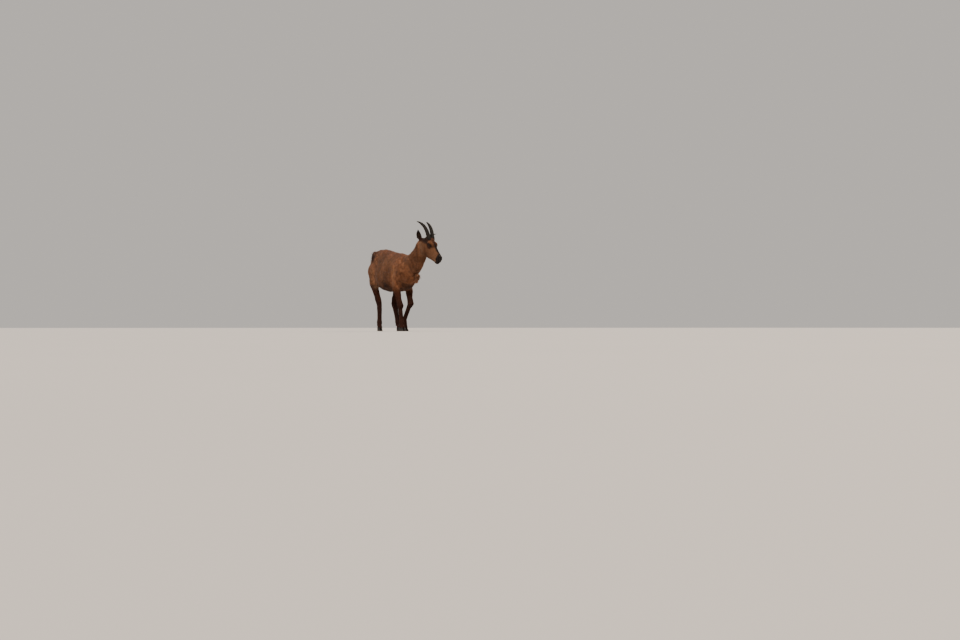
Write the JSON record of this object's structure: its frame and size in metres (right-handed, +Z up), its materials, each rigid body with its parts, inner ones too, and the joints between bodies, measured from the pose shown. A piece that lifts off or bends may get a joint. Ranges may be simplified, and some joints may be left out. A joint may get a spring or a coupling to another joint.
{
  "type": "alpine ibex",
  "caption": "Life-size standing female alpine ibex with short back-swept horns, head turned to its left and down, one fore leg bent, all hooves on level ground.",
  "frame": {"origin": "centre of the bounding box at floor level, between the hooves", "axes": "+X the way the body faces, +Y the animal's left, +Z up"},
  "size_m": [1.1096, 0.3582, 1.0666],
  "materials": {
    "coat": "short dense hair, matt",
    "dark_coat": "short dark hair, matt",
    "pale_wool": "loose winter wool, matt",
    "horn": "ridged horn, satin",
    "hoof": "worn horn, satin",
    "eye": "wet, glossy"
  },
  "bodies": {
    "root": {"brisket_wool": "pale_wool", "dewclaw_front_left_inner": "hoof", "dewclaw_front_left_outer": "hoof", "dewclaw_front_right_inner": "hoof", "dewclaw_front_right_outer": "hoof", "dewclaw_hind_left_inner": "hoof", "dewclaw_hind_left_outer": "hoof", "dewclaw_hind_right_inner": "hoof", "dewclaw_hind_right_outer": "hoof", "ear_left": "dark_coat", "ear_right": "dark_coat", "eye_left": "eye", "eye_right": "eye", "head": "coat", "hoof_front_left_inner": "hoof", "hoof_front_left_outer": "hoof", "hoof_front_right_inner": "hoof", "hoof_front_right_outer": "hoof", "hoof_hind_left_inner": "hoof", "hoof_hind_left_outer": "hoof", "hoof_hind_right_inner": "hoof", "hoof_hind_right_outer": "hoof", "horn_left": "horn", "horn_right": "horn", "leg_front_left": "dark_coat", "leg_front_right": "dark_coat", "leg_hind_left": "dark_coat", "leg_hind_right": "dark_coat", "neck": "coat", "tail": "dark_coat", "torso": "coat"}
  },
  "joints": []
}
